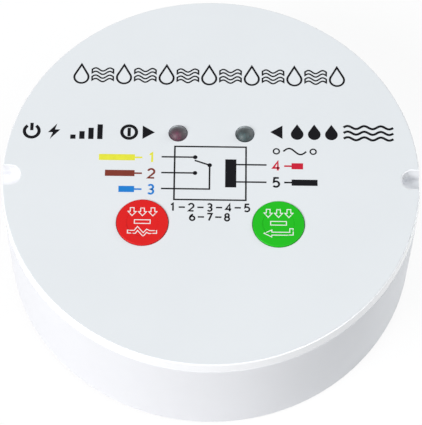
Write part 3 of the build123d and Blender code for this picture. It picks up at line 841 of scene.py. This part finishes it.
def pin_places(name):
    """The middle of each pin of a node that comes out under the board."""
    corners = [corner.co for corner in nodes[name].data.vertices]
    tips = [corner for corner in corners if corner.z < BOARD_LOW - PIN_REACH]
    pins = []
    for tip in sorted(tips, key=lambda tip: tip.x):
        for pin in pins:
            if (tip.xy - pin[0]).length < PIN_SPREAD:
                pin.append(tip.xy)
                break
        else:
            pins.append([tip.xy])
    return [sum(pin, Vector((0, 0))) / len(pin) for pin in pins]


def solder_joints(solder):
    profile = [
        (SOLDER_RADIUS * wide, BOARD_LOW - SOLDER_HEIGHT * deep) for wide, deep in SOLDER_SHARES
    ]
    for name in sorted(nodes):
        if name.endswith(("_pins", "_leads")) or name == "varistor":
            turned(name + "_solder", profile, pin_places(name), PLAIN_TURN, solder)


def board_print(white):
    """White outlines on the board, round the parts that stand on it."""
    shapes = []
    for name in BOXED_PARTS:
        low, high = (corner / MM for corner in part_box(name))
        left, right = low.x - BOARD_MARGIN, high.x + BOARD_MARGIN
        bottom, top = low.y - BOARD_MARGIN, high.y + BOARD_MARGIN
        shapes += stroke(rectangle(left, bottom, right, top), BOARD_LINE, closed=True)
    for name in RINGED_PARTS:
        low, high = (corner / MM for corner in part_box(name))
        radius = (high.x - low.x) / 2 + BOARD_MARGIN
        ring = circle((low.x + high.x) / 2, (low.y + high.y) / 2, radius)
        shapes += stroke(ring, BOARD_LINE, closed=True)
    printed("board_outlines", shapes, white, level=board_level, slot="board_green")


# Studio
WHITE = (1, 1, 1, 1)
WORLD_LEVEL = 0.2
FLOOR_SIZE = 4.0
FLOOR_COLOUR = [0.68, 0.68, 0.69]
FLOOR_GLOW = 0.86
LIGHT_DISTANCE = 3.6
LIGHT_SIZE = 1.8
PLAIN_LIGHT = (1, 1, 1)
COOL_LIGHT = (0.955, 1.0, 1.0)
# Name, azimuth, elevation, power and colour. Azimuth 0 is in front, and it grows to the left.
SOFTBOXES = (
    ("key", 50, 38, 116.0, PLAIN_LIGHT),
    ("fill", -117, 21, 37.6, COOL_LIGHT),
    ("top", -60, 60, 31.6, COOL_LIGHT),
)


def white_for_sight(tree):
    """1 for rays from the camera, a mirror or glass, and 0 for light that falls on the object."""
    path = add_node(tree, "LightPath")
    seen = path.outputs["Is Camera Ray"]
    for kind in ("Is Glossy Ray", "Is Transmission Ray"):
        either = add_node(tree, "Math")
        either.operation = "MAXIMUM"
        tree.links.new(seen, either.inputs[0])
        tree.links.new(path.outputs[kind], either.inputs[1])
        seen = either.outputs[0]
    return seen


def mix_for_sight(tree, light, sight, output):
    """One shader for light that falls on the object, and another for what is seen."""
    mix = add_node(tree, "MixShader")
    tree.links.new(white_for_sight(tree), mix.inputs["Fac"])
    tree.links.new(light, mix.inputs[1])
    tree.links.new(sight, mix.inputs[2])
    tree.links.new(mix.outputs["Shader"], tree.nodes[output].inputs["Surface"])


def studio_world():
    world = bpy.data.worlds.new("studio")
    bpy.context.scene.world = world
    world.use_nodes = True
    tree = world.node_tree
    light = tree.nodes["Background"]
    set_inputs(light, {"Color": WHITE, "Strength": WORLD_LEVEL})
    sight = add_node(tree, "Background", {"Color": WHITE, "Strength": 1.0})
    mix_for_sight(tree, light.outputs["Background"], sight.outputs["Background"], "World Output")


def floor_material():
    """Matt for the light, and near white with a trace of shadow for what is seen."""
    material, tree, shader = new_material("studio_floor")
    tree.nodes.remove(shader)
    dim = [channel * (1 - FLOOR_GLOW) for channel in FLOOR_COLOUR]
    matt = add_node(tree, "BsdfDiffuse", {"Color": FLOOR_COLOUR + [1]})
    dimmer = add_node(tree, "BsdfDiffuse", {"Color": dim + [1]})
    glow = add_node(tree, "Emission", {"Strength": 1 - FLOOR_COLOUR[0] * (1 - FLOOR_GLOW)})
    both = add_node(tree, "AddShader")
    tree.links.new(dimmer.outputs["BSDF"], both.inputs[0])
    tree.links.new(glow.outputs["Emission"], both.inputs[1])
    mix_for_sight(tree, matt.outputs["BSDF"], both.outputs["Shader"], "Material Output")
    return material


def studio_floor():
    mesh = bpy.data.meshes.new("studio_floor")
    half = FLOOR_SIZE / 2
    corners = [(-half, -half, 0), (half, -half, 0), (half, half, 0), (-half, half, 0)]
    mesh.from_pydata(corners, [], [(0, 1, 2, 3)])
    piece = add_object("studio_floor", mesh)
    mesh.materials.append(floor_material())


def softbox(name, azimuth, elevation, power, colour):
    """A square lamp that points at the object, with its angles in degrees."""
    azimuth, elevation = math.radians(azimuth), math.radians(elevation)
    light = bpy.data.lights.new(name, "AREA")
    light.shape = "SQUARE"
    light.size = LIGHT_SIZE
    light.energy = power
    light.color = colour
    flat = math.cos(elevation)
    way = Vector((-math.sin(azimuth) * flat, -math.cos(azimuth) * flat, math.sin(elevation)))
    lamp = add_object(name, light)
    lamp.location = way * LIGHT_DISTANCE
    lamp.rotation_euler = (-way).to_track_quat("-Z", "Y").to_euler()


# Camera, as the photograph was taken
VIEW_ELEVATION = math.radians(60.896)
VIEW_ROLL = math.radians(0.7185)
VIEW_DISTANCE = 0.6894
VIEW_TARGET = Vector((0.000117, 0.008598, CASE_BOTTOM))
VIEW_LENS = 228.72
VIEW_SENSOR = 36.0
VIEW_NEAR = 0.01


def camera():
    """The photograph's view: high in front, tilted a little clockwise."""
    back = Vector((0, -math.cos(VIEW_ELEVATION), math.sin(VIEW_ELEVATION)))
    upward = Vector((0, math.sin(VIEW_ELEVATION), math.cos(VIEW_ELEVATION)))
    side = Vector((1, 0, 0))
    right = side * math.cos(VIEW_ROLL) + upward * math.sin(VIEW_ROLL)
    up = upward * math.cos(VIEW_ROLL) - side * math.sin(VIEW_ROLL)
    lens = bpy.data.cameras.new("camera")
    lens.lens = VIEW_LENS
    lens.sensor_fit = "VERTICAL"
    lens.sensor_height = VIEW_SENSOR
    lens.sensor_width = VIEW_SENSOR
    lens.clip_start = VIEW_NEAR
    piece = add_object("camera", lens)
    turn = Matrix((right, up, back)).transposed().to_4x4()
    piece.matrix_world = Matrix.Translation(VIEW_TARGET + back * VIEW_DISTANCE) @ turn
    bpy.context.scene.camera = piece


materials = slot_materials()
dress_nodes(materials)
face_print()
# The lamps' cups are near black: painted shade that darkens the lenses' lower edges.
painted_shade_metal = metal("painted_shade_metal", [0.03, 0.03, 0.03], roughness=0.4, streak=False)
for lamp in LAMPS:
    lamp_inside(lamp, painted_shade_metal, materials["tinned"])
solder_joints(materials["tinned"])
board_print(ink("board_ink", [0.82, 0.82, 0.8]))
studio_world()
studio_floor()
for light in SOFTBOXES:
    softbox(*light)
camera()
bpy.context.scene.view_settings.view_transform = "Standard"
